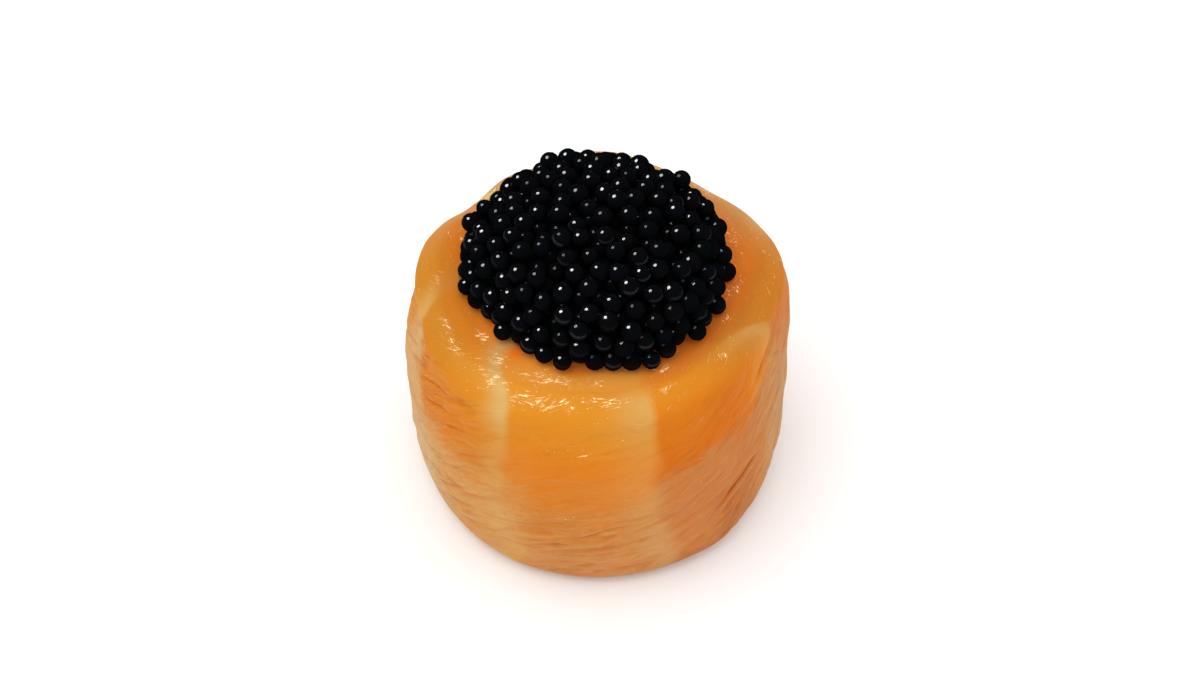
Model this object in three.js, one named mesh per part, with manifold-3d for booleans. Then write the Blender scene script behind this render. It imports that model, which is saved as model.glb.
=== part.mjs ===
// Gunkan sushi: raw salmon wrapped round into a squat drum, with a heap of black roe in its shallow dish.
// Lengths are in millimetres and +Z is up. The origin is the middle of the flat underside. -Y is the front.
import * as THREE from "three";
import { mergeVertices } from "three/addons/utils/BufferGeometryUtils.js";
import Module from "manifold-3d";

const wasm = await Module();
wasm.setup();

// ---- Driving dimensions of the salmon wrap ----
const WRAP_HEIGHT = 27.2;
const WIDEST_RADIUS = 21; // of the barrel-shaped side
const WIDEST_HEIGHT = 11.8;
const BASE_RADIUS = 20.3;
const BASE_ROUND = 2.65; // radius of the lower edge
const SHOULDER_RADIUS = 19.9;
const SHOULDER_ROUND = 3; // radius of the upper edge
const RIM_WAVE = 0.2; // the upper edge rises by this at the sides, and falls by it at the front and back
const DISH_DEPTH = 1; // of the shallow dish on top, which holds the heap
const DISH_SLOPE = 2.2; // width of the dish's sloping edge

// The side isn't quite round. Each lobe is [count, size at the base, its angle, size at the top, its angle].
const SIDE_LOBES = [
  [2, 0.13, -136, 0.36, 106],
  [3, 0.27, 130, 0.23, -13],
  [4, 0.21, -71, 0.31, 14],
  [5, 0.1, 75, 0.38, 72],
];

// The strip's free end lies over its start, at the back.
const SEAM_ANGLE = 104;
const SEAM_LEAN = 8; // degrees that the end leans from base to top
const SEAM_STEP = 0.5; // how far the end stands out
const SEAM_RISE = 4; // degrees over which the end rises
const SEAM_FADE = 50; // degrees over which the lap sinks back into the round

// ---- Driving dimensions of the roe ----
const GRAIN_RADIUS = 1; // of an average egg
const GRAIN_COUNT = 244;
const GRAIN_SPACING = 1.96;
const SIZE_SPREAD = 0.1; // share by which eggs differ in size
const DEPTH_SPREAD = 0.42; // how far eggs stand out or in
const HEAP_RADIUS = 13.2; // to the centres of the outermost eggs
const HEAP_HEIGHT = 9.2; // from the heap's foot to the centres of the topmost eggs
const HEAP_BACK = 0.3; // the dish and the heap sit this far behind the wrap's centre
const HEAP_SQUARENESS = 2.8; // 2 is an ellipsoid, and more has a flatter top and steeper sides
const CORE_INSET = 0.22; // from the mean level of the eggs' centres down to the core's skin
const CORE_LIFT = 0.2; // from the lowest eggs' undersides up to the core's
const CONTACT_GAP = 0.3; // between the heap and the dish's floor

// The outline of the heap: each lobe is [count, size, angle].
const HEAP_LOBES = [
  [2, 0.26, -72],
  [3, 0.14, 124],
  [4, 0.1, 53],
  [5, 0.11, 175],
];

// ---- Fineness and rules ----
const WRAP_SIDES = 68;
const CORE_SIDES = 20;
const CORE_ROWS = 5;
const GRAIN_SIDES = 6;
const GRAIN_RINGS = [-14, 40]; // latitudes of an egg's two rings of corners
const FACET_SHARE = 0.95; // faceted eggs are a little smaller, so that neighbours' corners don't cross
const SPREAD_SPACING = 2.4; // eggs first spread out to this spacing, which then closes up
const SPREAD_STEPS = 240;
const PUSH_SHARE = 0.3; // of an overlap, taken up by each of the two eggs in one step
const SHAKE = 0.7; // of the step from one egg of the sunflower pattern to the next
const GOLDEN_ANGLE = Math.PI * (3 - Math.sqrt(5));

const TURN = 2 * Math.PI;
const DISH_EDGE_RADIUS = SHOULDER_RADIUS - SHOULDER_ROUND;
const DISH_FLOOR_RADIUS = DISH_EDGE_RADIUS - DISH_SLOPE;
const HEAP_FOOT = WRAP_HEIGHT - DISH_DEPTH + CONTACT_GAP;
const LOWEST_CENTRE = HEAP_FOOT + GRAIN_RADIUS;
const radians = THREE.MathUtils.degToRad;
const smoothstep = THREE.MathUtils.smoothstep;

// ---- Salmon wrap ----

// Half section, as [radius, height] points from the middle of the base out, up the side and in to the dish.
function wrapSection() {
  const foot = BASE_RADIUS - BASE_ROUND;
  const sideEnd = WRAP_HEIGHT - SHOULDER_ROUND;
  const points = [[0, 0]];
  const stretch = (count, at) => {
    for (let i = 1; i <= count; i++) points.push(at(i / count));
  };
  stretch(2, (t) => [foot * t, 0]);
  stretch(3, (t) => [
    foot + BASE_ROUND * Math.sin((t * TURN) / 4),
    BASE_ROUND * (1 - Math.cos((t * TURN) / 4)),
  ]);
  stretch(7, (t) => {
    const height = BASE_ROUND + (sideEnd - BASE_ROUND) * t;
    return [barrelRadius(height), height];
  });
  stretch(4, (t) => [
    DISH_EDGE_RADIUS + SHOULDER_ROUND * Math.cos((t * TURN) / 4),
    sideEnd + SHOULDER_ROUND * Math.sin((t * TURN) / 4),
  ]);
  stretch(3, (t) => {
    const radius = DISH_EDGE_RADIUS + (DISH_FLOOR_RADIUS - DISH_EDGE_RADIUS) * t;
    return [radius, WRAP_HEIGHT - DISH_DEPTH * smoothstep(t, 0, 1)];
  });
  stretch(2, (t) => [DISH_FLOOR_RADIUS * (1 - t), WRAP_HEIGHT - DISH_DEPTH]);
  return points.map(([radius, height]) => new THREE.Vector2(radius, height));
}

// Radius of the side at a height: two half parabolas that meet at the widest point.
function barrelRadius(height) {
  const below = height < WIDEST_HEIGHT;
  const endRadius = below ? BASE_RADIUS : SHOULDER_RADIUS;
  const endHeight = below ? BASE_ROUND : WRAP_HEIGHT - SHOULDER_ROUND;
  const share = (height - WIDEST_HEIGHT) / (endHeight - WIDEST_HEIGHT);
  return WIDEST_RADIUS - (WIDEST_RADIUS - endRadius) * share * share;
}

// How far the side stands out or in from the round, at an angle and a share of the height.
function sideRelief(angle, share) {
  let relief = 0;
  for (const [count, low, lowAngle, high, highAngle] of SIDE_LOBES) {
    relief += (1 - share) * low * Math.cos(count * angle - radians(lowAngle));
    relief += share * high * Math.cos(count * angle - radians(highAngle));
  }
  return relief;
}

// Share of the lap's full thickness at an angle: a quick rise at the free end, then a long fade.
function seamLap(angle, share) {
  const start = radians(SEAM_ANGLE + SEAM_LEAN * (share - 0.5));
  const past = THREE.MathUtils.euclideanModulo(start - angle, TURN);
  const rise = smoothstep(past, 0, radians(SEAM_RISE));
  return rise * (1 - smoothstep(past, radians(2 * SEAM_RISE), radians(SEAM_FADE)));
}

// Moves a point of the plain turned drum to its place on the uneven wrap.
function shapeWrapPoint(point) {
  const radius = Math.hypot(point.x, point.y);
  const angle = Math.atan2(point.y, point.x);
  const share = point.z / WRAP_HEIGHT;
  const onSide = smoothstep(point.z, 0, BASE_ROUND);
  const onShoulder = smoothstep(point.z, WRAP_HEIGHT - SHOULDER_ROUND, WRAP_HEIGHT - 0.3 * SHOULDER_ROUND);
  const onRim = smoothstep(radius, DISH_FLOOR_RADIUS, DISH_EDGE_RADIUS);
  const lap = SEAM_STEP * seamLap(angle, share) * onSide * onRim;
  const grown = radius + sideRelief(angle, share) * Math.min(1, radius / SHOULDER_RADIUS) + lap;
  const back = HEAP_BACK * onShoulder * (1 - smoothstep(radius, DISH_EDGE_RADIUS, SHOULDER_RADIUS));
  const lift = RIM_WAVE * Math.cos(2 * angle) * share ** 4 * onRim + 0.5 * lap * onShoulder;
  return point.set(grown * Math.cos(angle), grown * Math.sin(angle) + back, point.z + lift);
}

function wrapGeometry() {
  const turned = new THREE.LatheGeometry(wrapSection(), WRAP_SIDES);
  turned.rotateX(TURN / 4); // the lathe turns about Y
  const geometry = welded(turned);
  const positions = geometry.getAttribute("position");
  const point = new THREE.Vector3();
  for (let i = 0; i < positions.count; i++) {
    shapeWrapPoint(point.fromBufferAttribute(positions, i));
    positions.setXYZ(i, point.x, point.y, point.z);
  }
  geometry.computeVertexNormals();
  return geometry;
}

// The same surface with one vertex where several meet, and nothing on it but positions.
function welded(geometry) {
  geometry.deleteAttribute("normal");
  geometry.deleteAttribute("uv");
  return mergeVertices(geometry, 1e-3);
}

// ---- Black roe ----

// A repeatable number from 0 to 1 for an egg and a purpose.
function draw(index, purpose) {
  const wide = Math.sin(index * 12.9898 + purpose * 78.233) * 43758.5453;
  return wide - Math.floor(wide);
}

// The heap's radius at an angle: round, with a few soft lobes.
function heapRadius(angle) {
  let radius = HEAP_RADIUS;
  for (const [count, size, phase] of HEAP_LOBES) radius += size * Math.cos(count * angle - radians(phase));
  return radius;
}

// Moves a point in or out until it lies on the heap's surface, and no lower than the lowest eggs' centres.
function ontoHeap(point, grow) {
  const x = point.x;
  const y = point.y - HEAP_BACK;
  const out = Math.hypot(x, y);
  const wide = heapRadius(Math.atan2(y, x)) + grow;
  const tall = HEAP_HEIGHT + grow;
  const height = Math.max(point.z - HEAP_FOOT, 0);
  const power = HEAP_SQUARENESS;
  const size = ((out / wide) ** power + (height / tall) ** power) ** (1 / power);
  point.set(x / size, y / size + HEAP_BACK, HEAP_FOOT + height / size);
  if (point.z < LOWEST_CENTRE) {
    const level = (LOWEST_CENTRE - HEAP_FOOT) / tall;
    const reach = wide * (1 - level ** power) ** (1 / power);
    point.set((x / out) * reach, (y / out) * reach + HEAP_BACK, LOWEST_CENTRE);
  }
}

// The way out of the heap at a point, square to its surface.
function outOfHeap(point) {
  const x = point.x;
  const y = point.y - HEAP_BACK;
  const aside = Math.hypot(x, y) ** (HEAP_SQUARENESS - 2) / HEAP_RADIUS ** HEAP_SQUARENESS;
  const above = (point.z - HEAP_FOOT) ** (HEAP_SQUARENESS - 1) / HEAP_HEIGHT ** HEAP_SQUARENESS;
  return new THREE.Vector3(x * aside, y * aside, above).normalize();
}

// Pushes every point away from those nearer than a spacing, all at once.
function pushApart(points, spacing) {
  const shifts = points.map(() => new THREE.Vector3());
  const between = new THREE.Vector3();
  for (let i = 0; i < points.length; i++) {
    for (let j = i + 1; j < points.length; j++) {
      const apart = between.subVectors(points[i], points[j]).length();
      if (apart < spacing) {
        between.multiplyScalar((PUSH_SHARE * (spacing - apart)) / apart);
        shifts[i].add(between);
        shifts[j].sub(between);
      }
    }
  }
  points.forEach((point, i) => point.add(shifts[i]));
}

// A point of a sunflower pattern on a half ball stretched to the heap's size.
function sunflower(share, angle) {
  const out = HEAP_RADIUS * Math.sqrt(1 - (1 - share) ** 2);
  const up = HEAP_HEIGHT * (1 - share);
  return new THREE.Vector3(out * Math.cos(angle), out * Math.sin(angle) + HEAP_BACK, HEAP_FOOT + up);
}

// Centres of the eggs: a shaken sunflower pattern, then pushed apart, each at its own depth.
function grainCentres() {
  const points = [];
  const depths = [];
  for (let i = 0; i < GRAIN_COUNT; i++) {
    const angle = (i + SHAKE * (draw(i, 1) - 0.5)) * GOLDEN_ANGLE;
    points.push(sunflower((i + 0.5 + SHAKE * (draw(i, 2) - 0.5)) / GRAIN_COUNT, angle));
    depths.push(DEPTH_SPREAD * (2 * draw(i, 3) - 1));
  }
  for (let step = 0; step < SPREAD_STEPS; step++) {
    pushApart(points, THREE.MathUtils.lerp(SPREAD_SPACING, GRAIN_SPACING, step / SPREAD_STEPS));
    points.forEach((point, i) => ontoHeap(point, depths[i]));
  }
  return points;
}

function solidOf(geometry) {
  const surface = welded(geometry);
  return new wasm.Manifold(
    new wasm.Mesh({
      numProp: 3,
      vertProperties: surface.getAttribute("position").array,
      triVerts: new Uint32Array(surface.index.array),
    }),
  );
}

function geometryOf(solid) {
  const mesh = solid.getMesh();
  const geometry = new THREE.BufferGeometry();
  geometry.setAttribute("position", new THREE.BufferAttribute(mesh.vertProperties, 3));
  geometry.setIndex(new THREE.BufferAttribute(mesh.triVerts, 1));
  geometry.computeVertexNormals();
  return geometry;
}

// One faceted egg: two rings between two poles. Its upper pole points out of the heap, and its plain lower
// cone sinks into the core.
function grainSolid(centre, index) {
  const radius = FACET_SHARE * GRAIN_RADIUS * (1 + SIZE_SPREAD * (2 * draw(index, 4) - 1));
  const profile = [-90, ...GRAIN_RINGS, 90].map((latitude) => {
    const out = Math.abs(latitude) === 90 ? 0 : Math.cos(radians(latitude));
    return new THREE.Vector2(radius * out, radius * Math.sin(radians(latitude)));
  });
  const geometry = new THREE.LatheGeometry(profile, GRAIN_SIDES);
  geometry.rotateY(TURN * draw(index, 6));
  const pole = new THREE.Vector3(0, 1, 0);
  geometry.applyQuaternion(new THREE.Quaternion().setFromUnitVectors(pole, outOfHeap(centre)));
  geometry.translate(centre.x, centre.y, Math.max(centre.z, HEAP_FOOT + radius));
  return solidOf(geometry);
}

// The heap's inside: a plain dome with the heap's outline, whose skin lies just below the eggs' centres.
function coreSolid() {
  const profile = [new THREE.Vector2(0, 0)];
  for (let i = 0; i <= CORE_ROWS; i++) {
    const turn = (i / CORE_ROWS) * (TURN / 4);
    const radius = i === CORE_ROWS ? 0 : Math.cos(turn) ** (2 / HEAP_SQUARENESS);
    profile.push(new THREE.Vector2(radius, Math.sin(turn) ** (2 / HEAP_SQUARENESS)));
  }
  const dome = new THREE.LatheGeometry(profile, CORE_SIDES);
  dome.rotateX(TURN / 4);
  const positions = dome.getAttribute("position");
  const point = new THREE.Vector3();
  for (let i = 0; i < positions.count; i++) {
    point.fromBufferAttribute(positions, i);
    const wide = heapRadius(Math.atan2(point.y, point.x)) - CORE_INSET;
    const tall = HEAP_HEIGHT - CORE_INSET - CORE_LIFT;
    positions.setXYZ(i, point.x * wide, point.y * wide + HEAP_BACK, point.z * tall + HEAP_FOOT + CORE_LIFT);
  }
  return solidOf(dome);
}

function roeGeometry() {
  return geometryOf(wasm.Manifold.union([coreSolid(), ...grainCentres().map(grainSolid)]));
}

// ---- Assembly ----
const sushi = new THREE.Group();

const wrap = new THREE.Mesh(
  wrapGeometry(),
  new THREE.MeshStandardMaterial({ color: 0xe08a30, roughness: 0.35, metalness: 0 }),
);
wrap.name = "salmon_wrap";
sushi.add(wrap);

const roe = new THREE.Mesh(
  roeGeometry(),
  new THREE.MeshStandardMaterial({ color: 0x0b0c10, roughness: 0.12, metalness: 0 }),
);
roe.name = "black_roe";
sushi.add(roe);

export default sushi;
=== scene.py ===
import bpy
import numpy as np
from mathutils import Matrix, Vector


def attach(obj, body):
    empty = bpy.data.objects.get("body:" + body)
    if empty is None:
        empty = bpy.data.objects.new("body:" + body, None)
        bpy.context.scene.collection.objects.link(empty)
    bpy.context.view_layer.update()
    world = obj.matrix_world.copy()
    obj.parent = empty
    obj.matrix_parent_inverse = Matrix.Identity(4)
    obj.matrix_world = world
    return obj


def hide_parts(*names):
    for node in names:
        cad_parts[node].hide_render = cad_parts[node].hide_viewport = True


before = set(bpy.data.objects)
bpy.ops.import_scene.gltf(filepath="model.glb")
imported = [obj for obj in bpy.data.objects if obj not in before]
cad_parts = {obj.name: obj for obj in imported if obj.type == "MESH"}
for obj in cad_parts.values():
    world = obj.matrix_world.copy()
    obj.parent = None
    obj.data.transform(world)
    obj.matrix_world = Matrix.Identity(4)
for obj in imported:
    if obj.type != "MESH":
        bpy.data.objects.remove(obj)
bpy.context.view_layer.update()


# ---- Salmon wrap: shape ----
# One strip of raw salmon, stood on its edge and rolled round into a drum. Its top is pressed into a shallow
# dish, and its free end laps over its start at the back. A half section is carried round the upright axis.
WRAP_HEIGHT = 27.2
WIDEST_RADIUS = 21.0
WIDEST_HEIGHT = 11.8
BASE_RADIUS = 20.3
BASE_ROUND = 2.65  # radius of the lower edge
SHOULDER_RADIUS = 19.9
SHOULDER_ROUND = 3.0  # radius of the upper edge
RIM_WAVE = 0.2  # the upper edge rises by this at the sides, and falls by it at the front and back
DISH_DEPTH = 0.8
DISH_SLOPE = 4.2  # width of the dish's soft edge, which starts on the shoulder's curve
DISH_EDGE = SHOULDER_RADIUS - SHOULDER_ROUND  # radius where the shoulder's curve ends
DISH_FLOOR = 13.6  # radius of the dish's flat middle
HEAP_BACK = 0.3  # the dish and the heap sit this far behind the wrap's centre

# The side isn't quite round. Each lobe is (count, size at the base, its angle, size at the top, its angle).
SIDE_LOBES = [
    (2, 0.13, -136, 0.36, 106),
    (3, 0.27, 130, 0.23, -13),
    (4, 0.21, -71, 0.31, 14),
    (5, 0.1, 75, 0.38, 72),
]

# The strip's free end, at the back.
SEAM_ANGLE = 104
SEAM_LEAN = 8  # degrees that the free end leans from base to top
SEAM_STEP = 0.5  # how far the free end stands out
SEAM_RISE = 1.2  # degrees over which it rises
SEAM_HOLD = 8  # degrees for which the lap keeps its full thickness
SEAM_FADE = 50  # degrees over which the lap sinks back into the round

# Points in a ring, and rings in each part of the half section.
COLUMNS = 500
SECTION_ROWS = {"base": 4, "lower edge": 14, "side": 126, "shoulder": 30, "slope": 16, "floor": 6}


def smooth(x, low, high):
    """0 up to low, 1 from high on, and between them 3t^2 - 2t^3, where t is the share of the way."""
    t = np.clip((x - low) / (high - low), 0, 1)
    return t * t * (3 - 2 * t)


def wrap_section():
    """Half section of the drum from near the middle of the base out, up and in to the dish's floor, as
    radius and height. The lower edge and the shoulder are quarter circles. The side is two half parabolas
    that meet at the widest point. The top sinks into the dish by a smooth step of the radius."""
    side_top = WRAP_HEIGHT - SHOULDER_ROUND

    def shares(part):
        return np.linspace(0, 1, SECTION_ROWS[part] + 1)[1:]

    t = shares("base")
    base = [(BASE_RADIUS - BASE_ROUND) * t, 0 * t]
    t = shares("lower edge") * np.pi / 2
    lower = [BASE_RADIUS - BASE_ROUND + BASE_ROUND * np.sin(t), BASE_ROUND * (1 - np.cos(t))]
    height = BASE_ROUND + (side_top - BASE_ROUND) * shares("side")
    end_radius = np.where(height < WIDEST_HEIGHT, BASE_RADIUS, SHOULDER_RADIUS)
    end_height = np.where(height < WIDEST_HEIGHT, BASE_ROUND, side_top)
    share = (height - WIDEST_HEIGHT) / (end_height - WIDEST_HEIGHT)
    side = [WIDEST_RADIUS - (WIDEST_RADIUS - end_radius) * share**2, height]
    t = shares("shoulder") * np.pi / 2
    shoulder = [DISH_EDGE + SHOULDER_ROUND * np.cos(t), side_top + SHOULDER_ROUND * np.sin(t)]
    slope = [DISH_EDGE - (DISH_EDGE - DISH_FLOOR) * shares("slope"), WRAP_HEIGHT + 0 * shares("slope")]
    floor = [DISH_FLOOR * (1 - shares("floor")[:-1]), WRAP_HEIGHT + 0 * shares("floor")[:-1]]
    radius, height = np.hstack([base, lower, side, shoulder, slope, floor])
    sunk = DISH_DEPTH * (1 - smooth(radius, DISH_FLOOR, DISH_FLOOR + DISH_SLOPE)) * (height > side_top)
    return radius, height - sunk


def side_relief(angle, share):
    """How far the side stands out from the round, at an angle and a share of the height. Each lobe is two
    cosines of a whole number of angles: one fades from the base up, and the other from the top down."""
    relief = 0
    for count, low, low_turn, high, high_turn in SIDE_LOBES:
        relief = relief + (1 - share) * low * np.cos(count * angle - np.radians(low_turn))
        relief = relief + share * high * np.cos(count * angle - np.radians(high_turn))
    return relief


def seam_lap(past):
    """Share of the lap's thickness at an angle past the free end: a quick rise and a long smooth fall."""
    fallen = smooth(past, np.radians(SEAM_HOLD), np.radians(SEAM_FADE))
    return smooth(past, 0, np.radians(SEAM_RISE)) * (1 - fallen)


# The walk is how far a point lies along the section from the start of the lower edge. The side runs from a
# walk of 4.2 to 25.8, the shoulder from there to 30.5, and the dish's slope to 33.9.
radius, height = wrap_section()
walk = np.concatenate([[0], np.cumsum(np.hypot(np.diff(radius), np.diff(height)))])
walk = walk - walk[SECTION_ROWS["base"] - 1]
share = height / WRAP_HEIGHT
turn = 2 * np.pi * np.arange(COLUMNS) / COLUMNS
angle = np.radians(SEAM_ANGLE + SEAM_LEAN * (share[:, None] - 0.5)) + turn
azimuth = np.degrees(angle) % 360
radius, height, share, walk = (
    np.repeat(values[:, None], COLUMNS, 1) for values in (radius, height, share, walk)
)


# ---- Salmon wrap: fat lines, folds and fibres ----
# Pale lines of fat part the flakes of flesh. They stand upright on the side and run in over the top, with a
# short step on one side and a slow fade on the other. The fibres run round the drum and climb slowly.

# A fat line is (azimuth, width in degrees, bend towards the dish, lean near the foot, cover low on the
# side, half way up, at the shoulder and in the dish, depth of the orange beyond it, the degrees for which
# that goes on, and the share of it in the dish).
FAT_LINES = [
    (243, 7, -14, 2, 0.42, 0.42, 1.0, 0.85, 0.2, 30, 0.0),
    (287.5, 12, 0, 7, 0.55, 0.28, 0.62, 0.1, 1.0, 44, 0.7),
    (341, 11, -40, 2, 0.1, 0.15, 0.42, 0.0, 0.8, 60, 1.0),
    (30, 9, -14, 3, 0.25, 0.4, 0.25, 0.0, 0.8, 34, 0.9),
    (80, 8, -12, 3, 0.35, 0.6, 0.9, 0.5, 0.5, 30, 0.2),
    (136, 9, 12, 3, 0.3, 0.5, 0.9, 0.4, 0.8, 40, 0.5),
    (197, 8, -12, 3, 0.15, 0.3, 0.6, 0.2, 0.3, 42, 0.1),
]
COVER_WALKS = (12, 19, 24, 27, 29.3, 31)  # the second and the third cover hold between two walks each
BAND_POWER = 2.6
REACH_FADE = 16  # degrees over which the orange yellows again

# A crease is (azimuth, half its length in degrees, walk, climb per degree, depth, half its width).
CREASES = [
    (317, 11, 12.1, 0.17, 0.38, 0.28),
    (324, 6, 15.0, 0.16, 0.12, 0.2),
    (311, 7, 7.4, 0.2, 0.12, 0.22),
    (330, 8, 8.6, 0.22, 0.14, 0.2),
    (209, 8, 9.3, 0.21, 0.2, 0.2),
    (273, 10, 11.9, 0.12, 0.12, 0.2),
    (256, 9, 8.8, 0.09, 0.12, 0.18),
    (281, 7, 9.6, 0.13, 0.1, 0.18),
    (262, 8, 13.2, 0.1, 0.09, 0.2),
    (250, 7, 11.2, 0.08, 0.1, 0.16),
    (212, 10, 23.6, 0.17, 0.18, 0.24),
    (214, 9, 21.3, 0.19, 0.17, 0.3),
    (206, 5, 25.4, 0.23, 0.13, 0.18),
    (226, 9, 25.0, 0.15, 0.12, 0.2),
    (209, 6, 19.2, 0.2, 0.12, 0.2),
    (226, 8, 21.2, 0.17, 0.11, 0.26),
    (333, 5, 24.6, 0.3, 0.15, 0.2),
    (341, 5, 23.4, -0.22, 0.14, 0.2),
    (348, 6, 21.6, 0.26, 0.12, 0.2),
    (12, 11, 17.5, 0.16, 0.16, 0.24),
    (24, 9, 9.8, 0.17, 0.2, 0.26),
    (47, 12, 22.4, 0.13, 0.14, 0.2),
    (66, 10, 13.2, 0.12, 0.17, 0.24),
    (92, 8, 18.6, 0.1, 0.12, 0.2),
    (121, 11, 10.5, 0.13, 0.2, 0.26),
    (143, 9, 21.0, 0.15, 0.15, 0.2),
    (160, 12, 14.6, 0.17, 0.18, 0.24),
    (178, 9, 24.0, 0.2, 0.13, 0.2),
    (183, 8, 8.4, 0.18, 0.15, 0.22),
]
CREASE_ARCH = 0.006
LIP = 0.4  # how far the flesh below a crease swells, as a share of the crease's depth
LIP_DROP = 2.6  # from the crease down to its lip, in half widths of the crease
LIP_WIDTH = 1.5  # half width of the lip, in the same

STEADY_CLIMB = 0.4  # how far the fibres climb for each millimetre round
CLIMB_SWING = 0.22  # how far that goes up and down, three times round
STEEPEST = 207  # azimuth where they climb the most, as at 327 and 87
FIBRE_WANDER = 0.55  # how far they stray from that way, up and down
RIDGE_WAVES = 16
FINE_FOLDS = 420
PALE_WISPS = 300
FOLD_DRAWS = 41  # purpose of the first of the draws for the folds
WISP_DRAWS = 61

# Where the surface is most wrinkled: (azimuth, reach in degrees, lowest walk, highest walk, strength).
WRINKLED_PATCHES = [
    (214, 20, 6, 27, 1.0),
    (328, 26, 2, 27, 1.1),
    (268, 26, 1, 14, 0.6),
    (40, 50, 4, 25, 0.9),
    (100, 40, 4, 20, 0.7),
    (150, 35, 4, 26, 0.9),
]

# The line below which the side is pale: (azimuth, walk, half the walk over which the orange fades into it).
PALE_LINE = [
    (4, 24.0, 4.0),
    (22, 16.0, 3.5),
    (52, 14.0, 4.0),
    (78, 13.0, 5.0),
    (100, 11.0, 6.0),
    (133, 12.0, 5.0),
    (158, 14.0, 4.0),
    (176, 17.0, 4.0),
    (187, 25.5, 2.5),
    (198, 27.0, 2.2),
    (208, 16.5, 3.5),
    (215, 17.5, 3.0),
    (238, 16.5, 4.0),
    (250, 16.5, 7.5),
    (285, 16.5, 7.5),
    (289, 19.3, 0.8),
    (302, 19.5, 0.8),
    (318, 20.2, 0.9),
    (326, 21.0, 1.0),
    (333, 22.4, 1.2),
    (338, 25.0, 1.2),
    (342, 26.8, 1.4),
    (353, 26.6, 2.0),
]

# Where beads of wet fat glint: (azimuth, reach in degrees, walk, reach in millimetres, strength).
WET_PLACES = [
    (216, 5, 33.0, 0.8, 1.0),
    (230, 4, 32.2, 1.2, 1.0),
    (252, 12, 32.2, 1.1, 0.8),
    (270, 3, 32.0, 0.8, 0.8),
    (298, 4, 32.3, 0.6, 0.8),
    (334, 3, 32.0, 0.6, 0.8),
    (353, 5, 33.2, 0.7, 0.9),
    (185, 5, 30.5, 0.5, 0.6),
    (213, 12, 29.9, 0.6, 0.7),
    (234, 9, 30.0, 1.1, 0.6),
    (252, 11, 29.1, 0.8, 0.85),
    (274, 5, 29.4, 0.5, 0.9),
    (294, 5, 29.7, 0.4, 0.8),
    (318, 3, 29.4, 0.4, 0.9),
    (262, 8, 24.0, 1.2, 0.5),
    (302, 4, 25.0, 0.8, 0.5),
    (20, 7, 32.0, 0.8, 0.4),
    (48, 9, 29.2, 0.6, 0.8),
    (75, 6, 32.4, 0.9, 0.8),
    (104, 10, 31.0, 1.0, 0.7),
    (134, 8, 29.2, 0.6, 0.8),
    (158, 6, 32.4, 0.8, 0.8),
]

# Thin wet streaks on the side: (azimuth, reach in degrees, walk, climb per degree, strength).
WET_STREAKS = [
    (267, 3.4, 23.4, 0.18, 1.45),
    (276.5, 1.8, 25.0, 0.16, 1.4),
    (255, 1.6, 22.4, 0.1, 1.1),
    (298, 0.9, 24.2, 0.2, 1.4),
    (282, 1.5, 21.5, 0.1, 0.9),
    (150, 3.0, 23.0, 0.15, 1.4),
    (40, 2.5, 22.0, 0.15, 1.4),
    (90, 2.0, 20.5, 0.1, 1.2),
]
STREAK_THICKNESS = 0.15


def off_azimuth(centre):
    """Degrees from a centre azimuth to each point, from -180 to 180."""
    return (azimuth - centre + 180) % 360 - 180


def bell(x):
    """1 at 0, falling on both sides to 1 over e at 1 and -1: e to the power of minus x squared."""
    return np.exp(-(x**2))


def spot(centre, reach, level, height_reach):
    """A bell of the azimuth and the walk: 1 at its middle, and 1 over e at its reach."""
    return np.exp(-((off_azimuth(centre) / reach) ** 2) - ((walk - level) / height_reach) ** 2)


def fat_and_flakes():
    """Cover of fat, and depth of the orange, from 0 to 1. Each line's edge is its azimuth, plus a bend
    towards the dish, a lean near the foot, two slow waves of the walk and, lower down, a quick one. Fat
    steps up at the edge and dies away before it as a bell. The step is longest near the foot, and in the
    dish where there is little fat. The orange is deepest past the edge, and fades at its reach's end."""
    fat, deep = 0 * azimuth, 0 * azimuth
    for number, line in enumerate(FAT_LINES):
        centre, width, bend, lean, low, middle, high, in_dish, beyond, reach, inward = line
        wave = 0.5 * np.sin(0.31 * walk + 2.1 * number) + 0.25 * np.sin(0.9 * walk + 1.3 * number)
        wave = wave + 1.3 * (1 - smooth(walk, 17, 23)) * np.sin(1.15 * walk + 0.6 + number)
        edge = bend * smooth(walk, 27.5, 34) + lean * (1 - smooth(walk, 5, 17)) + wave
        before = edge - off_azimuth(centre)
        blur = 1.7 + 2.4 * (1 - smooth(walk, 15, 26)) + (1.2 + 3 * (1 - in_dish)) * smooth(walk, 29, 31.5)
        cover = np.interp(walk, COVER_WALKS, (low, middle, middle, high, high, in_dish))
        band = smooth(before, -blur, blur) * np.exp(-((np.maximum(before, 0) / width) ** BAND_POWER))
        fat = np.maximum(fat, cover * band)
        past = smooth(-before, -blur, blur) * (1 - smooth(off_azimuth(centre), reach - REACH_FADE, reach))
        deep = np.maximum(deep, beyond * past * (1 - (1 - inward) * smooth(walk, 27, 30)))
    return fat, deep


def crease_relief():
    """Depth of the creases, and height of their lips, in millimetres. Each crease is a narrow bell across
    its line, which climbs with the azimuth and arches a little, and dies away towards both ends. The lip is
    a wider bell just below it."""
    depth, lip = 0 * azimuth, 0 * azimuth
    for centre, reach, level, climb, deep, wide in CREASES:
        along = off_azimuth(centre)
        across = walk - level - climb * along + CREASE_ARCH * along**2
        ends = deep * (1 - smooth(np.abs(along), 0.3 * reach, 1.2 * reach))
        depth = depth + ends * bell(across / wide)
        lip = lip + LIP * ends * bell((across + LIP_DROP * wide) / (LIP_WIDTH * wide))
    return depth, lip


def draw(number, purpose):
    """A repeatable draw from 0 to 1 for a number and a purpose: the fraction of a large sine."""
    wide = np.sin(number * 12.9898 + purpose * 78.233) * 43758.5453
    return wide - np.floor(wide)


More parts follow.
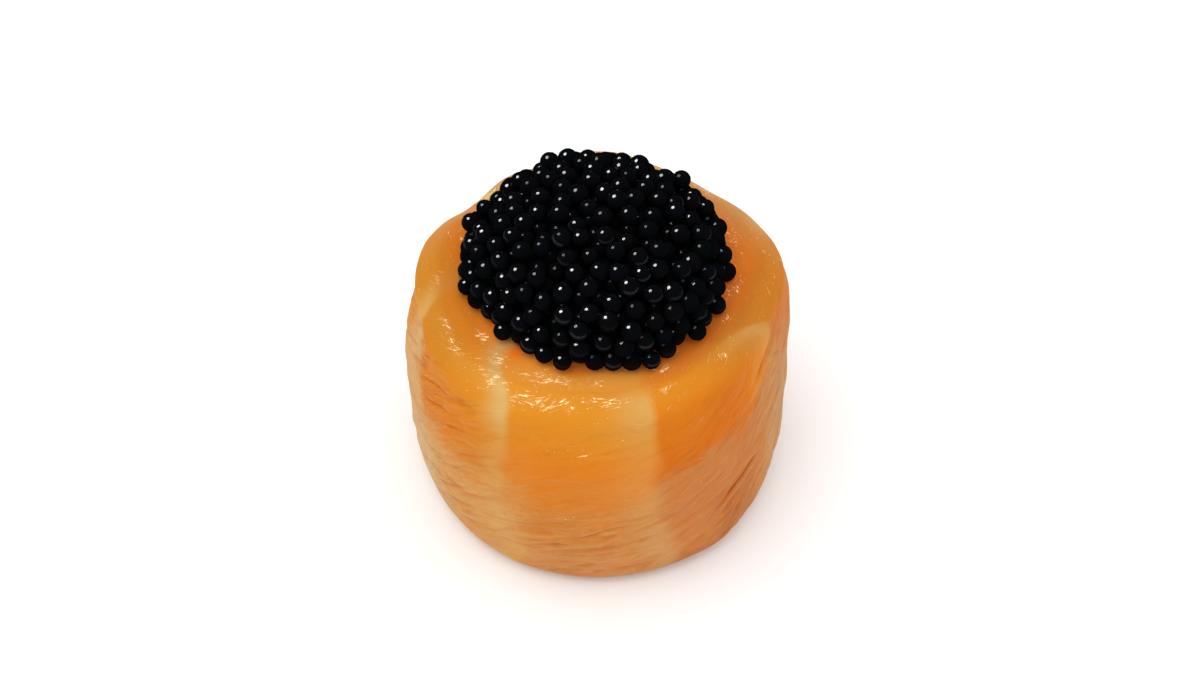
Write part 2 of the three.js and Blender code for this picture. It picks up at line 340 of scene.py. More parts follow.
def climb_of_fibres():
    """How far a fibre has climbed since the seam, in millimetres: the slope's integral over the angle,
    where the slope is a steady climb plus a cosine of three times the angle from the steepest azimuth. Two
    waves of the angle and the walk make it stray."""
    since = angle - np.radians(SEAM_ANGLE)
    swing = np.sin(3 * (angle - np.radians(STEEPEST))) - np.sin(3 * np.radians(SEAM_ANGLE - STEEPEST))
    stray = 0.6 * np.sin(11 * angle + 0.45 * walk) + 0.4 * np.sin(19 * angle - 0.8 * walk + 1)
    return WIDEST_RADIUS * (STEADY_CLIMB * since + CLIMB_SWING * swing / 3) + FIBRE_WANDER * stray


def stray_lines(count, purpose, above, below):
    """Strength from 0 to 1 of many short lines that lie along the fibres, each a little askew and bowed.
    Across a line the strength is a bell, whose widths above and below it are the given shares of the line's
    own width. The lines' places, half lengths, widths and strengths are drawn, and most lines are short."""
    number = np.arange(count)
    centres = 360 * draw(number, purpose)
    levels = 3 + 25 * draw(number, purpose + 1)
    lengths = 0.8 + 3.4 * draw(number, purpose + 2) ** 2
    widths = 0.13 + 0.2 * draw(number, purpose + 3)
    askew = 0.3 * (draw(number, purpose + 4) - 0.5)
    bows = 0.05 * (draw(number, purpose + 5) - 0.5)
    strengths = 0.3 + 0.7 * draw(number, purpose + 6)
    slopes = STEADY_CLIMB + CLIMB_SWING * np.cos(3 * np.radians(centres - STEEPEST)) + askew
    total = 0 * azimuth
    for centre, level, length, wide, slope, bow, strength in zip(
        centres, levels, lengths, widths, slopes, bows, strengths
    ):
        along = np.radians(off_azimuth(centre)) * WIDEST_RADIUS
        across = walk - level - slope * along + bow * along**2
        spread = wide * np.where(across > 0, above, below)
        ends = 1 - smooth(np.abs(along), 0.3 * length, 1.1 * length)
        total = np.maximum(total, strength * ends * bell(across / spread))
    return total


def wrinkle_ridges():
    """Fine uneven ridges along the fibres: sine waves across them, 0.6 to 4.2 mm long, each bent by a
    slower sine and shown only in 8 to 20 short stretches of the way round, where a third sine is high."""
    ridges = 0 * azimuth
    for number in range(RIDGE_WAVES):
        length = 0.6 + 3.6 * (number / (RIDGE_WAVES - 1)) ** 1.8
        size = 0.006 + 0.011 * length
        turns = 8 + 2 * (number % 7)
        shown = smooth(np.sin(turns * angle + 2.4 * number + (0.25 + 0.03 * number) * walk), 0.1, 0.9)
        bend = 0.9 * np.sin((2 + number % 5) * angle + number + 0.2 * walk)
        ridges = ridges + size * shown * np.sin(2 * np.pi * fibre / length + bend + 1.7 * number)
    return ridges


fibre = walk - climb_of_fibres()
fat, deep = fat_and_flakes()
crease, lip = crease_relief()
ridges = wrinkle_ridges()
wrinkled = 0 * azimuth
for centre, reach, lowest, highest, strength in WRINKLED_PATCHES:
    patch = smooth(walk, lowest - 3, lowest + 2) * (1 - smooth(walk, highest - 2, highest + 2))
    wrinkled = wrinkled + strength * patch * bell(off_azimuth(centre) / reach)
folds = stray_lines(FINE_FOLDS, FOLD_DRAWS, 0.5, 1.7) * np.minimum(1, 0.15 + 1.3 * wrinkled)
wisps = stray_lines(PALE_WISPS, WISP_DRAWS, 1.2, 1.2) * np.minimum(1, 0.25 + wrinkled)

# Where the flesh is reddest beside the roe, and painted brighter there against the heap's shade: (azimuth,
# reach in degrees).
BLUSHES = [(207, 9), (231, 5), (261, 6), (300, 8), (320, 10), (2, 22), (45, 18), (95, 20), (150, 20)]
blush = sum(bell(off_azimuth(centre) / reach) for centre, reach in BLUSHES)

wet = 0 * azimuth
for centre, reach, level, height_reach, strength in WET_PLACES:
    wet = np.maximum(wet, strength * spot(centre, reach, level, height_reach))
for centre, reach, level, climb, strength in WET_STREAKS:
    across = (walk - level - climb * off_azimuth(centre)) / STREAK_THICKNESS
    wet = np.maximum(wet, strength * np.exp(-((off_azimuth(centre) / reach) ** 2) - across**2))

line_azimuth, line_walk, line_softness = np.array(PALE_LINE).T
below_line = np.interp(azimuth, line_azimuth, line_walk, period=360) - walk
crispness = 1 / np.interp(azimuth, line_azimuth, line_softness, period=360)

# Where the side is pressed in, or swells: (azimuth, reach in degrees, walk, reach in millimetres, depth).
DENTS = [
    (185, 22, 24.5, 2.2, 0.4),
    (186, 18, 23.4, 2.4, 0.38),
    (141, 9, 28.8, 2.4, 0.85),
    (122, 9, 28.6, 2.2, -0.3),
    (18, 10, 28.5, 2.0, 0.3),
    (354, 16, 12.5, 3.5, 0.35),
    (309, 10, 3.5, 2.5, -0.4),
    (196, 16, 11.0, 4.0, 0.25),
    (357, 20, 18.5, 3.0, 0.4),
    (352, 18, 27.6, 1.2, 0.3),
    (60, 18, 14.0, 4.0, 0.3),
    (110, 20, 22.0, 3.0, 0.35),
]
lumps = 0.07 * np.sin(9 * angle + 0.35 * walk) * np.sin(0.42 * walk + 2 * np.sin(3 * angle))
lumps = lumps + 0.04 * np.sin(17 * angle - 0.5 * walk + 1) * np.sin(0.8 * walk + 1)
for centre, reach, level, height_reach, depth in DENTS:
    lumps = lumps - depth * spot(centre, reach, level, height_reach)

# To the left and the right, the shoulder's foot is folded into a low ridge over a groove.
RIDGE_WALK = 27.7
RIDGE_HEIGHT = 0.16
GROOVE_WALK = 26.2
GROOVE_DEPTH = 0.2  # on the right, and 0.45 on the left
side_fold = smooth(np.abs(np.cos(angle)), 0.9, 0.96)
left = 0.5 - 0.5 * np.cos(angle)
ridge = RIDGE_HEIGHT * bell((walk - RIDGE_WALK) / 0.55)
fold = ridge - (GROOVE_DEPTH + 0.25 * left) * bell(walk - GROOVE_WALK)

# All of this moves the skin square to the section. Then the lobes, the lap and the rim's wave move it.
on_side = smooth(height, 0, BASE_ROUND)
stands_out = (0.15 + wrinkled) * ridges + lumps + lip - crease + side_fold * fold
stands_out = stands_out - 0.05 * fat - 0.07 * folds + 0.02 * wisps

rise_along = np.gradient(height, axis=0)
out_along = np.gradient(radius, axis=0)
steep = np.hypot(rise_along, out_along)
radius = radius + on_side * stands_out * rise_along / steep
height = height - on_side * stands_out * out_along / steep

on_shoulder = smooth(height, WRAP_HEIGHT - SHOULDER_ROUND, WRAP_HEIGHT - 0.3 * SHOULDER_ROUND)
on_rim = smooth(radius, DISH_FLOOR, DISH_EDGE)
lap = SEAM_STEP * seam_lap(2 * np.pi - turn) * on_side * on_rim
grown = radius + side_relief(angle, share) * np.minimum(1, radius / SHOULDER_RADIUS) + lap
back = HEAP_BACK * on_shoulder * (1 - smooth(radius, DISH_EDGE, SHOULDER_RADIUS))
lift = RIM_WAVE * np.cos(2 * angle) * share**4 * on_rim + 0.5 * lap * on_shoulder
wrap_rings = np.stack([grown * np.cos(angle), grown * np.sin(angle) + back, height + lift], axis=-1)


# ---- Salmon wrap: mesh ----
# The rings are joined into one closed skin, with a fan at the middle of the base and of the dish. Each
# corner keeps its place along and across the strip, and each vertex how fat, pale or folded it is.
MM = 0.001  # in metres


def put_mesh(name, vertices, faces):
    """Makes a smooth-shaded mesh object from vertices in millimetres and arrays of faces of equal sides."""
    corners = np.concatenate([part.ravel() for part in faces]).astype(np.int32)
    sides = np.concatenate([np.full(len(part), part.shape[1]) for part in faces])
    mesh = bpy.data.meshes.new(name)
    mesh.vertices.add(len(vertices))
    mesh.vertices.foreach_set("co", (vertices * MM).astype(np.float32).ravel())
    mesh.loops.add(len(corners))
    mesh.loops.foreach_set("vertex_index", corners)
    mesh.polygons.add(len(sides))
    starts = np.concatenate([[0], np.cumsum(sides)[:-1]])
    mesh.polygons.foreach_set("loop_start", starts.astype(np.int32))
    mesh.polygons.foreach_set("use_smooth", np.ones(len(sides), bool))
    mesh.update(calc_edges=True)
    piece = bpy.data.objects.new(name, mesh)
    bpy.context.scene.collection.objects.link(piece)
    return piece


def ring_faces(rows, columns, low_pole, high_pole):
    """Squares between neighbouring rings of a stack, and a fan of triangles to the pole at each end."""
    here = np.arange(columns)
    after = (here + 1) % columns
    start = np.arange(rows - 1)[:, None] * columns
    squares = np.stack([start + here, start + after, start + columns + after, start + columns + here], -1)
    last = (rows - 1) * columns
    low_fan = np.stack([np.full(columns, low_pole), after, here], -1)
    high_fan = np.stack([np.full(columns, high_pole), last + here, last + after], -1)
    return [squares.reshape(-1, 4), low_fan, high_fan]


def keep_values(piece, name, values):
    """Stores one number for each vertex, for the material to read."""
    layer = piece.data.attributes.new(name, "FLOAT", "POINT")
    layer.data.foreach_set("value", values.astype(np.float32).ravel())


rows = len(wrap_rings)
poles = np.array([[0, 0, 0], [0, HEAP_BACK, WRAP_HEIGHT - DISH_DEPTH]])
wrap_vertices = np.vstack([wrap_rings.reshape(-1, 3), poles])
wrap_faces = ring_faces(rows, COLUMNS, rows * COLUMNS, rows * COLUMNS + 1)
wrap = put_mesh("salmon_strip", wrap_vertices, wrap_faces)


def with_poles(values):
    """The values of all ring points, with the first and last ring's means for the two poles."""
    return np.concatenate([values.ravel(), [values[0].mean(), values[-1].mean()]])


wrap_values = {
    "fat": fat,
    "below_line": below_line,
    "crispness": crispness,
    "folds": folds,
    "wisps": wisps,
    "deep": deep,
    "crease": crease,
    "groove": smooth(-ridges * (0.15 + wrinkled), 0.01, 0.07),
    "wrinkled": wrinkled,
    "wet": wet,
    "blush": blush,
    "walk": walk,
    "azimuth_cosine": np.cos(angle),
    "azimuth_sine": np.sin(angle),
}
for name, values in wrap_values.items():
    keep_values(wrap, name, with_poles(values))

# How far round (x) and how far up across the fibres (y) each corner of each face lies, in millimetres. The
# corners that close a ring at the seam go on from the last column, so the map isn't torn there.
corner_vertex = np.concatenate([part.ravel() for part in wrap_faces])
round_of = with_poles(np.broadcast_to(turn * WIDEST_RADIUS, azimuth.shape))
up_of = with_poles(fibre)
full_climb = WIDEST_RADIUS * STEADY_CLIMB * 2 * np.pi
corner_round = round_of[corner_vertex]
corner_up = up_of[corner_vertex]
square_corners = wrap_faces[0].size
past_seam = np.zeros(len(corner_vertex), bool)
square_columns = corner_vertex[:square_corners].reshape(-1, 4) % COLUMNS
closing = square_columns.max(1, keepdims=True) == COLUMNS - 1
past_seam[:square_corners] = ((square_columns == 0) & closing).ravel()
corner_round = np.where(past_seam, corner_round + 2 * np.pi * WIDEST_RADIUS, corner_round)
corner_up = np.where(past_seam, corner_up - full_climb, corner_up)
strip_map = wrap.data.uv_layers.new(name="strip")
strip_map.data.foreach_set("uv", np.stack([corner_round, corner_up], -1).astype(np.float32).ravel())


# ---- Salmon wrap: finish ----
# Raw salmon is soft, wet and a little clear. Its orange deepens in the dish, turns amber on the shoulder and
# fades to tan and dull rose low on the side. Threads of fat and dark lines follow the fibres, a fine crinkle
# lies over the pale parts, and wet specks glint. Some of the colour is painted light and shade: shade in the
# creases, grooves and folds, near the foot and under the heap, light beside the roe and on the shoulder's
# ring, sheen on the pale side and at the back of the ring, and glints on the wet specks.
class Wire:
    """A socket of a material's nodes. Sums, differences and products of wires and numbers add Math nodes."""

    def __init__(self, tree, socket=None):
        self.tree = tree
        self.socket = socket

    def node(self, kind, settings=None, values=None, out=0):
        """Adds a node, sets its settings, then its inputs, and returns the output of that number."""
        made = self.tree.nodes.new(kind)
        for name, setting in (settings or {}).items():
            setattr(made, name, setting)
        for name, value in (values or {}).items():
            if isinstance(value, Wire):
                self.tree.links.new(value.socket, made.inputs[name])
            else:
                made.inputs[name].default_value = value
        return Wire(self.tree, made.outputs[out] if made.outputs else None)

    def maths(self, operation, *values):
        """The result of one Math node."""
        return self.node("ShaderNodeMath", {"operation": operation}, dict(enumerate(values)))

    def __add__(self, other):
        return self.maths("ADD", self, other)

    def __radd__(self, other):
        return self.maths("ADD", other, self)

    def __sub__(self, other):
        return self.maths("SUBTRACT", self, other)

    def __rsub__(self, other):
        return self.maths("SUBTRACT", other, self)

    def __mul__(self, other):
        return self.maths("MULTIPLY", self, other)

    def __rmul__(self, other):
        return self.maths("MULTIPLY", other, self)

    def rise(self, low, high, start=0.0, end=1.0):
        """A smooth step from start to end as this value goes from low to high."""
        settings = {"interpolation_type": "SMOOTHSTEP"}
        return self.node("ShaderNodeMapRange", settings, {0: self, 1: low, 2: high, 3: start, 4: end})

    def pick(self, low, high):
        """A colour between two, by this value from 0 to 1."""
        return self.node("ShaderNodeMix", {"data_type": "RGBA"}, {0: self, 6: low, 7: high}, out=2)

    def read(self, name):
        """The number stored at each vertex under a name."""
        return self.node("ShaderNodeAttribute", {"attribute_name": name}, out=2)

    def noise(self, where, scale, detail=2.0, rough=0.5, warp=0.0):
        """Cloudy noise from 0 to 1 at a place."""
        values = {"Vector": where, "Scale": scale, "Detail": detail, "Roughness": rough, "Distortion": warp}
        return self.node("ShaderNodeTexNoise", {}, values)

    def stretch(self, across, up):
        """This place with its first two parts scaled."""
        return self.node("ShaderNodeVectorMath", {"operation": "MULTIPLY"}, {0: self, 1: (across, up, 1)})

    def bump(self, depth):
        """The normal of a surface with this relief, where 1 is a depth in millimetres."""
        return self.node("ShaderNodeBump", {}, {"Strength": 1.0, "Distance": depth * MM, "Height": self})

    def show(self):
        """Makes this shader the material's surface."""
        self.node("ShaderNodeOutputMaterial", {}, {"Surface": self})


def new_material(name):
    """An empty node material and a wire to start from."""
    material = bpy.data.materials.new(name)
    material.use_nodes = True
    material.node_tree.nodes.clear()
    return material, Wire(material.node_tree)


# Tones of the upper flesh, of the ring on the shoulder and of the dish.
FLESH = (0.69, 0.205, 0.012, 1)
LEFT_FLESH = (0.59, 0.195, 0.016, 1)
DEEP_FLESH = (0.61, 0.135, 0.005, 1)
AMBER = (0.64, 0.245, 0.018, 1)
# The shoulder's ring, partly painted light: darker at the sides, and pale at the back as painted sheen.
LEFT_RING = (0.51, 0.195, 0.015, 1)
SIDE_RING = (0.47, 0.168, 0.018, 1)
BACK_RING_SHEEN = (0.47, 0.230, 0.078, 1)
DISH = (0.79, 0.29, 0.034, 1)
LEFT_DISH = (0.73, 0.225, 0.018, 1)
DEEP_DISH = (0.70, 0.160, 0.012, 1)
# Redder flesh beside the roe, also painted brighter against the heap's shade.
CONTACT_RED_AND_LIGHT = (0.87, 0.18, 0.012, 1)
# Painted shade under the heap.
PAINTED_SHADE_UNDER_ROE = (0.02, 0.007, 0.003, 1)

# Tones of the pale lower side, partly painted sheen.
LEFT_PALE_SHEEN = (0.56, 0.305, 0.112, 1)
LOW_LEFT_SHEEN = (0.55, 0.360, 0.172, 1)
FOOT_SHADE_ROSE = (0.42, 0.110, 0.024, 1)
LOW_BACK = (0.54, 0.230, 0.066, 1)
LOW_TAN = (0.53, 0.235, 0.075, 1)
TAN = (0.57, 0.28, 0.080, 1)
BROWN = (0.52, 0.20, 0.042, 1)
ROSE = (0.53, 0.190, 0.052, 1)
DARK_ROSE = (0.44, 0.145, 0.038, 1)
RIGHT_PALE_SHEEN = (0.475, 0.270, 0.120, 1)

# Fat, lines and wet specks.
FAT = (0.61, 0.42, 0.155, 1)
WISP = (0.66, 0.33, 0.110, 1)
PINK_WISP = (0.66, 0.32, 0.150, 1)
# Painted shade in the creases.
CREASE_SHADE = (0.36, 0.075, 0.006, 1)
# Dark streaks along the fibres, also used as painted shade in grooves and folds.
DARK_STREAK_AND_SHADE = (0.46, 0.100, 0.005, 1)
# Pale beads, partly their own tone and partly painted glint.
BEADS_AND_GLINT = (0.92, 0.55, 0.19, 1)
# Painted glints: the glow of the brightest wet specks.
PAINTED_GLINT = (1.0, 0.85, 0.60, 1)
NO_GLOW = (0, 0, 0, 1)

FIBRE_DEPTH = 0.12
RIPPLE_DEPTH = 0.16
LIGHT_DEPTH = 2.0  # how far light goes in

salmon, wire = new_material("raw_salmon")
place = wire.node("ShaderNodeTexCoord", out=3)
strip = wire.node("ShaderNodeUVMap", {"uv_map": "strip"})
walked = wire.read("walk")
cosine = wire.read("azimuth_cosine")
sine = wire.read("azimuth_sine")

# Clouds and patches, and threads and strands that are drawn out along the fibres.
cloud = wire.noise(place, 300, 3)
patches = wire.noise(place, 90, 2)
threads = wire.noise(strip.stretch(0.45, 3.2), 1.0, 4, 0.6, 1.2)
gate = wire.noise(strip.stretch(0.22, 0.5), 1.0, 2).rise(0.42, 0.62)
strands = wire.noise(strip.stretch(0.16, 1.0), 1.0, 3, 0.6, 0.8)
on_wall = walked.rise(28.6, 26.0)

# The flesh of the flakes, amber on the upper side in front. On the shoulder a ring is partly painted light:
# lighter and amber in front, darker at the sides, and pale tan at the back as painted sheen.
deep_here = wire.read("deep") * patches.rise(0.2, 0.7, 0.8, 1.0)
colour = deep_here.pick(cosine.rise(-0.3, -0.55).pick(FLESH, LEFT_FLESH), DEEP_FLESH)
in_front = sine.rise(-0.45, -0.95)
amber_here = walked.rise(20, 27) * in_front * (1 - 0.8 * deep_here) * cloud.rise(0.25, 0.6, 0.7, 1.0)
colour = amber_here.pick(colour, AMBER)
side_ring = cosine.rise(0.3, -0.3).pick(SIDE_RING, LEFT_RING)
# Painted light on the ring: lighter in front, darker at the sides, painted sheen at the back.
ring_tone_and_light = in_front.pick(sine.rise(0.0, 0.65).pick(side_ring, BACK_RING_SHEEN), AMBER)
right = cosine.rise(0.4, 0.85)
colour = (walked.rise(25.5, 28.8) * (1 - (0.6 - 0.4 * right) * deep_here)).pick(colour, ring_tone_and_light)

# The dish, reddest where the roe touches it, where it is also painted brighter against the heap's shade.
# Under the heap it is painted dark, as painted shade.
dish_tone = (deep_here * 1.2).pick(cosine.rise(-0.45, -0.8).pick(DISH, LEFT_DISH), DEEP_DISH)
colour = (walked - 0.7 * right).rise(29.2, 32.0).pick(colour, dish_tone)
# Beside the roe the flesh is redder, and painted brighter than the heap's shade would leave it.
touching = walked.rise(32.6, 34.2) * patches.rise(0.35, 0.6, 0.3, 1.0)
colour = (touching * (0.3 + 0.7 * wire.read("blush"))).pick(colour, CONTACT_RED_AND_LIGHT)
# Painted shade: the flesh hidden under the heap is painted nearly black.
colour = walked.rise(35.0, 35.5).pick(colour, PAINTED_SHADE_UNDER_ROE)

# The pale lower side, in its tones round the drum: partly the flesh's own paler tone and partly painted
# sheen of the pale surroundings, strongest at the left and right edges towards the front. Its upper edge is
# ragged along the fibres.
low_brown = walked.rise(11, 6).pick(BROWN, LOW_TAN)
low_tan = sine.rise(-0.25, 0.1).pick(TAN, LOW_BACK)
low_side = cosine.rise(-0.15, 0.35).pick(cosine.rise(-0.42, -0.27).pick(low_tan, low_brown), ROSE)
# Painted shade: a darker rose low on the right, where the lower edge rounds under.
low_side = (walked.rise(5.5, 3.0) * cosine.rise(0.1, 0.35) * 0.7).pick(low_side, FOOT_SHADE_ROSE)
low_side = (cosine.rise(0.52, 0.72) * cosine.rise(0.9, 0.78) * walked.rise(15, 9)).pick(low_side, DARK_ROSE)
left_pale_sheen = walked.rise(18, 11).pick(LEFT_PALE_SHEEN, LOW_LEFT_SHEEN)
front_half = (sine + 1.1 * strands - 0.55).rise(0.5, -0.2)
# Painted sheen at the left edge, towards the front.
low_side = (cosine.rise(-0.74, -0.93) * front_half).pick(low_side, left_pale_sheen)
# Painted sheen at the right edge, towards the front.
right_pale_sheen = (cosine + 0.2 * strands - 0.1).rise(0.82, 0.98) * front_half * walked.rise(26, 17)
low_side = right_pale_sheen.pick(low_side, RIGHT_PALE_SHEEN)
ragged = wire.read("below_line") + 8.0 * strands - 4.0 + 4.0 * threads - 2.0
pale = (ragged * wire.read("crispness")).rise(-1, 1)
colour = (pale * cloud.rise(0.2, 0.7, 0.8, 1.0)).pick(colour, low_side)

# Fat lines, crinkles, threads, folds and creases. The dark in the creases, in the troughs of the fine ridges
# and along the folds is painted shade.
fat_here = wire.read("fat") * cloud.rise(0.2, 0.6, 0.7, 1.0)
colour = (fat_here * 0.8).pick(colour, FAT)
crinkle = wire.noise(strip.stretch(0.8, 1.6), 1.0, 3, 0.62, 1.3)
colour = (crinkle.rise(0.5, 0.68) * pale * 0.2).pick(colour, PINK_WISP)
colour = (crinkle.rise(0.47, 0.32) * pale * 0.2).pick(colour, DARK_STREAK_AND_SHADE)
wrinkles = wire.read("wrinkled") * on_wall * wire.noise(place, 160, 2).rise(0.38, 0.6)
colour = (threads.rise(0.52, 0.66) * (0.05 + 0.22 * wrinkles) * on_wall).pick(colour, WISP)
colour = (threads.rise(0.46, 0.36) * gate * (0.2 + 0.25 * wrinkles) * on_wall).pick(colour, DARK_STREAK_AND_SHADE)
colour = (strands.rise(0.48, 0.3) * on_wall * 0.22).pick(colour, DEEP_FLESH)
# Painted shade in the troughs of the fine ridges.
colour = (wire.read("groove").rise(0.2, 1.0, 0.0, 0.3) * gate).pick(colour, DARK_STREAK_AND_SHADE)
colour = (wire.read("wisps") * (0.25 + 0.35 * pale) * (1 - 0.6 * deep_here) * on_wall).pick(colour, WISP)
# Painted shade along the small folds.
colour = (wire.read("folds") * 0.6 * on_wall).pick(colour, DARK_STREAK_AND_SHADE)
# Painted shade in the creases.
colour = wire.read("crease").rise(0.02, 0.26, 0.0, 0.75).pick(colour, CREASE_SHADE)

# Beads of fat and water lie in short wavy streaks, most of them on the shoulder and in the dish. Their pale
# tone is partly painted glint, and their brightest cores glow as painted glints.
streaks = wire.noise(strip.stretch(0.85, 3.9), 1.0, 3, 0.62, 1.7)
wet_zone = walked.rise(26.5, 28.3) * walked.rise(34.8, 33.9)
wetness = streaks + 0.19 * wire.read("wet") + 0.05 * wet_zone
film = wetness.rise(0.69, 0.75)
# Painted glints: the brightest cores of the beads glow.
painted_glint_share = wetness.rise(0.745, 0.80)
ripples = wire.noise(strip.stretch(2.0, 7.0), 1.0, 2, 0.5, 0.6)
rippled = (ripples + streaks).bump(RIPPLE_DEPTH)
relief = on_wall * (0.6 * threads + 0.7 * strands + 0.6 * pale * crinkle) + 0.25 * cloud
fibrous = relief.bump(FIBRE_DEPTH)


def flesh_shader(tone, roughness, shine, normal, glow):
    """Soft flesh that light enters a little way, under a skin of water. The glow is painted glints on wet
    specks.
    """
    values = {
        "Base Color": tone,
        "Roughness": roughness,
        "Normal": normal,
        "IOR": 1.36,
        "Specular IOR Level": shine,
        "Specular Tint": (1.0, 0.82, 0.54, 1),
        "Emission Color": glow,
        "Emission Strength": 0.5,
        "Subsurface Weight": 0.3,
        "Subsurface Radius": (1.0, 0.32, 0.08),
        "Subsurface Scale": LIGHT_DEPTH * MM,
        "Sheen Weight": 0.16,
        "Sheen Roughness": 0.35,
        "Sheen Tint": (1.0, 0.93, 0.82, 1),
    }
    return wire.node("ShaderNodeBsdfPrincipled", {}, values)


dry = flesh_shader(colour, 0.5, 0.01, fibrous, NO_GLOW)
beads_and_glint_tone = (film * 0.6).pick(colour, BEADS_AND_GLINT)
glossy = flesh_shader(beads_and_glint_tone, 0.14, 0.5, rippled, painted_glint_share.pick(NO_GLOW, PAINTED_GLINT))
wire.node("ShaderNodeMixShader", {}, {0: film, 1: dry, 2: glossy}).show()
wrap.data.materials.append(salmon)
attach(wrap, "root")
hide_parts("salmon_wrap")
wrap.visible_glossy = False  # the roe stays black, with no orange mirrored in it


# ---- Black roe: where each egg lies ----
# The eggs are spooned on as a heap and settle against each other. A shaken sunflower pattern on a domed heap
# is pushed apart step by step until the eggs lie side by side, each a little further out or in.
EGG_RADIUS = 1.04
EGG_COUNT = 218
SIZE_SPREAD = 0.09  # share by which eggs differ in size
DEPTH_SPREAD = 0.36  # how far eggs stand out or in
FIRST_SPACING = 2.4  # between centres, when the eggs start to settle
EGG_SPACING = 2.06  # when they have settled
LAST_SPACING = 1.85  # the least, after they are shaken
SETTLING_STEPS = 240
PARTING_STEPS = 12
PUSH_SHARE = 0.3  # of what is missing between two eggs, made up by each in one step
PATTERN_SHAKE = 0.7  # share of the step from one egg of the sunflower pattern to the next
JOLT = 0.7  # range over which each part of a centre is shaken
FAR_AWAY = 100
HEAP_RADIUS = 13.2  # to the centres of the outermost eggs
HEAP_HEIGHT = 9.2  # from the heap's foot to the centres of the topmost eggs
HEAP_SQUARENESS = 2.8  # 2 is an ellipsoid, and more has a flatter top and steeper sides
HEAP_FOOT = 26.5
FOOT_ROW = HEAP_FOOT + EGG_RADIUS  # height of the centres of the lowest eggs
SECOND_ROW = FOOT_ROW + 1.2
GOLDEN_ANGLE = np.pi * (3 - 5**0.5)

# The heap's outline isn't quite round. Each lobe is (count, size, angle).
HEAP_LOBES = [(2, 0.26, -72), (3, 0.14, 124), (4, 0.1, 53), (5, 0.11, 175)]

# A second layer lies under the outer eggs and fills the gaps between them.
INNER_COUNT = 200
INNER_DEPTH = 1.5
INNER_SIZE = 0.95
INNER_FIRST = 500  # number of its first egg, so that its draws are its own

# The row of eggs round the heap's foot in front: (azimuth, how far it stands out). Behind, the row is even.
FOOT_EGGS = [
    (190, 0.45),
    (199, 0.05),
    (207.5, -0.45),
    (214.5, -0.6),
    (222.5, 0.45),
    (230, -0.5),
    (237.5, -0.1),
    (246, 0.2),
    (255, 0.5),
    (262, -1.1),
    (269, -0.25),
    (277, -0.25),
    (285, 0.1),
    (293, 0.7),
    (302, -0.1),
    (310.5, -1.0),
    (319, 0.2),
    (328, -0.45),
    (337.5, 0.2),
    (348, -0.5),
    (358.5, 0.45),
]
EVEN_FOOT = np.arange(7.5, 183, 9.1)
EVEN_SPREAD = 0.5

# Eggs that are placed one by one higher up: (azimuth, height above the heap's foot, how far it stands out).
HIGH_EGGS = [
    (116, 6.7, 0.5),
    (106, 6.75, 0.4),
    (95, 6.7, 0.2),
    (85, 6.7, 0.15),
    (76, 6.65, 0.15),
    (66, 6.7, 0.35),
    (56, 6.0, -0.5),
    (42, 6.2, 0.65),
    (33, 5.4, 0.0),
    (25, 4.8, 0.2),
    (15, 3.8, 0.3),
    (7, 2.3, -0.4),
    (183, 2.4, -0.3),
    (174, 2.9, 0.1),
    (166, 4.4, 0.8),
    (157, 5.0, 0.35),
    (149, 5.3, -0.2),
    (141, 5.6, -0.1),
    (132, 5.7, -0.5),
    (124, 5.9, -0.9),
]


def draw_three(number, purpose):
    """Three draws from 0 to 1 for each number."""
    return np.stack([draw(number, purpose + part) for part in range(3)], -1)


def heap_radius(turned):
    """The heap's radius at an angle: round, plus a few cosines of whole numbers of angles."""
    lobes = [size * np.cos(count * turned - np.radians(phase)) for count, size, phase in HEAP_LOBES]
    return HEAP_RADIUS + sum(lobes)


def onto_heap(points, grow, lowest):
    """Scales each point out or in from the middle of the heap's foot until its shares of the radius and of
    the height, each to the power of the squareness, add up to 1. Points that would come below the lowest
    level are held on the heap's rim at that level."""
    x, y = points[:, 0], points[:, 1] - HEAP_BACK
    out = np.hypot(x, y)
    wide = heap_radius(np.arctan2(y, x)) + grow
    tall = HEAP_HEIGHT + grow
    up = np.maximum(points[:, 2] - HEAP_FOOT, 0)
    size = ((out / wide) ** HEAP_SQUARENESS + (up / tall) ** HEAP_SQUARENESS) ** (1 / HEAP_SQUARENESS)
    settled = np.stack([x / size, y / size + HEAP_BACK, HEAP_FOOT + up / size], -1)
    level = (lowest - HEAP_FOOT) / tall
    reach = wide * (1 - level**HEAP_SQUARENESS) ** (1 / HEAP_SQUARENESS) / out
    rim = np.stack([x * reach, y * reach + HEAP_BACK, np.full(len(x), lowest)], -1)
    return np.where((settled[:, 2] < lowest)[:, None], rim, settled)


def chosen_eggs():
    """Centres of the foot row and of the eggs placed higher up, each on the heap's skin moved out or in."""
    rest = np.stack([EVEN_FOOT, EVEN_SPREAD * (draw(np.arange(len(EVEN_FOOT)), 35) - 0.5)], -1)
    foot = np.vstack([FOOT_EGGS, rest])
    foot = np.column_stack([foot[:, 0], np.full(len(foot), EGG_RADIUS), foot[:, 1]])
    azimuth, up, out = np.vstack([foot, HIGH_EGGS]).T
    narrowed = (1 - (up / HEAP_HEIGHT) ** HEAP_SQUARENESS) ** (1 / HEAP_SQUARENESS)
    across = HEAP_RADIUS * narrowed * np.array([np.cos(np.radians(azimuth)), np.sin(np.radians(azimuth))])
    return onto_heap(np.stack([across[0], across[1] + HEAP_BACK, up + HEAP_FOOT], -1), out, FOOT_ROW)


